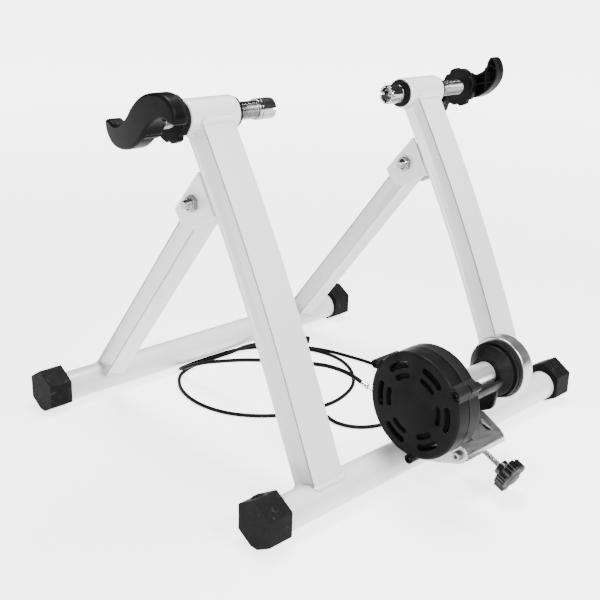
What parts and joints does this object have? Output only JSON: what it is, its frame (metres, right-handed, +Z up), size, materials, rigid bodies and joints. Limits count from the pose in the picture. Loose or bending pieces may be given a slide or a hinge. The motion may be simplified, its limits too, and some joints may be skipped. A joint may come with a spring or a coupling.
{
  "type": "magnetic bike trainer",
  "caption": "Folding bicycle trainer stand with screw clamps for the rear axle and a tilting magnetic resistance unit with roller, flywheel and cable remote.",
  "frame": {"origin": "on the floor, under the middle of the stand's box without its cable and remote", "axes": "+X along the base tubes towards the flywheel's side, +Y from the rear tube, which carries the resistance unit, to the folding front tube, +Z up"},
  "size_m": [0.5678, 0.5618, 0.4402],
  "materials": {
    "frame_paint": "off-white satin powder coat",
    "black_plastic": "black moulded nylon, slightly glossy",
    "foot_rubber": "black moulded rubber",
    "cast_black": "black painted casting",
    "chrome": "bright chrome plate",
    "zinc": "zinc plated steel",
    "roller_steel": "turned steel",
    "rotor_aluminium": "turned aluminium",
    "cable_black": "black cable jacket"
  },
  "bodies": {
    "frame": {"rear_base_tube": "frame_paint", "upright_left": "frame_paint", "axle_sleeve_left": "frame_paint", "sleeve_bush_inner_left": "black_plastic", "sleeve_bush_outer_left": "black_plastic", "leg_bracket_left_left": "frame_paint", "leg_bracket_left_right": "frame_paint", "leg_pivot_bolt_left": "zinc", "leg_pivot_nut_left": "zinc", "leg_pivot_bush_left": "zinc", "barrel_screw_left": "zinc", "upright_right": "frame_paint", "axle_sleeve_right": "frame_paint", "sleeve_bush_inner_right": "black_plastic", "sleeve_bush_outer_right": "black_plastic", "leg_bracket_right_left": "frame_paint", "leg_bracket_right_right": "frame_paint", "leg_pivot_bolt_right": "zinc", "leg_pivot_nut_right": "zinc", "leg_pivot_bush_right": "zinc", "barrel_screw_right": "zinc", "unit_bracket": "chrome", "adjuster_barrel": "chrome", "unit_pivot_bolt": "zinc", "unit_pivot_nut": "zinc", "cable_outer": "cable_black", "remote_body": "black_plastic"},
    "front_frame": {"front_base_tube": "frame_paint", "folding_leg_left": "frame_paint", "folding_leg_right": "frame_paint"},
    "rear_foot_left": {"rear_foot_left": "foot_rubber"},
    "rear_foot_right": {"rear_foot_right": "foot_rubber"},
    "front_foot_left": {"front_foot_left": "foot_rubber"},
    "front_foot_right": {"front_foot_right": "foot_rubber"},
    "axle_cup_left": {"axle_cup_left": "chrome"},
    "clamp_screw_left": {"axle_screw_left": "zinc", "clamp_handle_left": "black_plastic"},
    "lock_ring_left": {"lock_ring_left": "black_plastic"},
    "axle_cup_right": {"axle_cup_right": "chrome"},
    "clamp_screw_right": {"axle_screw_right": "zinc", "clamp_handle_right": "black_plastic"},
    "lock_ring_right": {"lock_ring_right": "black_plastic"},
    "unit": {"unit_yoke": "cast_black", "housing_cover": "black_plastic", "housing_rear_half": "black_plastic", "cable_ferrule": "chrome", "cable_inner_wire": "zinc"},
    "roller": {"roller_shaft": "roller_steel", "roller": "roller_steel", "rotor_disc": "rotor_aluminium", "flywheel_hub": "black_plastic", "flywheel": "chrome", "flywheel_nut": "zinc"},
    "magnets": {"magnet_carrier": "zinc"},
    "adjuster_screw": {"adjusting_screw": "zinc"},
    "adjuster_knob": {"adjuster_knob": "black_plastic"},
    "remote_lever": {"remote_lever": "black_plastic"}
  },
  "joints": [
    {"name": "front_fold", "type": "hinge", "parent": "frame", "child": "front_frame", "pos_m": [-0.0114, 0.02948, 0.306], "axis": [-1, 0, 0], "range_deg": [0, 60]},
    {"name": "rear_foot_turn_left", "type": "hinge", "parent": "frame", "child": "rear_foot_left", "pos_m": [-0.2839, -0.15402, 0.022], "axis": [1, 0, 0], "continuous": true},
    {"name": "front_foot_turn_left", "type": "hinge", "parent": "front_frame", "child": "front_foot_left", "pos_m": [-0.2839, 0.25698, 0.022], "axis": [1, 0, 0], "continuous": true},
    {"name": "rear_foot_turn_right", "type": "hinge", "parent": "frame", "child": "rear_foot_right", "pos_m": [0.2611, -0.15402, 0.022], "axis": [1, 0, 0], "continuous": true},
    {"name": "front_foot_turn_right", "type": "hinge", "parent": "front_frame", "child": "front_foot_right", "pos_m": [0.2611, 0.25698, 0.022], "axis": [1, 0, 0], "continuous": true},
    {"name": "axle_cup_slide_left", "type": "slide", "parent": "frame", "child": "axle_cup_left", "axis": [1, 0, 0], "range_m": [-0.0295, 0.003]},
    {"name": "clamp_turn_left", "type": "hinge", "parent": "axle_cup_left", "child": "clamp_screw_left", "pos_m": [-0.1538, 0.03748, 0.3974], "axis": [1, 0, 0], "range_deg": [-4248, 432]},
    {"name": "lock_ring_slide_left", "type": "slide", "parent": "clamp_screw_left", "child": "lock_ring_left", "axis": [-1, 0, 0], "range_m": [-0.003, 0.015]},
    {"name": "axle_cup_slide_right", "type": "slide", "parent": "frame", "child": "axle_cup_right", "axis": [-1, 0, 0], "range_m": [0, 0.0325]},
    {"name": "clamp_turn_right", "type": "hinge", "parent": "axle_cup_right", "child": "clamp_screw_right", "pos_m": [0.131, 0.03748, 0.3974], "axis": [-1, 0, 0], "range_deg": [0, 4680]},
    {"name": "lock_ring_slide_right", "type": "slide", "parent": "clamp_screw_right", "child": "lock_ring_right", "axis": [1, 0, 0], "range_m": [-0.03, 0]},
    {"name": "unit_tilt", "type": "hinge", "parent": "frame", "child": "unit", "pos_m": [-0.0114, -0.17602, 0.048], "axis": [-1, 0, 0], "range_deg": [0, 20], "deforming": ["cable_outer"]},
    {"name": "flywheel_spin", "type": "hinge", "parent": "unit", "child": "roller", "pos_m": [-0.0114, -0.19402, 0.11], "axis": [1, 0, 0], "continuous": true},
    {"name": "adjuster_screw_slide", "type": "slide", "parent": "frame", "child": "adjuster_screw", "axis": [0, 0.916, 0.4011], "range_m": [0, 0.00525]},
    {"name": "adjuster_knob_turn", "type": "hinge", "parent": "adjuster_screw", "child": "adjuster_knob", "pos_m": [-0.0114, -0.22402, 0.046], "axis": [0, 0.916, 0.4011], "range_deg": [0, 1508.46]},
    {"name": "remote_lever_turn", "type": "hinge", "parent": "frame", "child": "remote_lever", "pos_m": [0.07986, 0.16048, 0.016], "axis": [0, 0, -1], "range_deg": [0, 110]},
    {"name": "magnet_turn", "type": "hinge", "parent": "unit", "child": "magnets", "pos_m": [-0.0759, -0.19402, 0.11], "axis": [1, 0, 0], "range_deg": [0, 25.1]}
  ],
  "couplings": [
    {"joint": "axle_cup_slide_left", "follows": "clamp_turn_left", "m_per_rad": 0.00039789},
    {"joint": "axle_cup_slide_right", "follows": "clamp_turn_right", "m_per_rad": 0.00039789},
    {"joint": "adjuster_screw_slide", "follows": "unit_tilt", "m_per_rad": 0.015},
    {"joint": "adjuster_knob_turn", "follows": "unit_tilt", "ratio": 75.398},
    {"joint": "magnet_turn", "follows": "remote_lever_turn", "ratio": 0.22727}
  ]
}
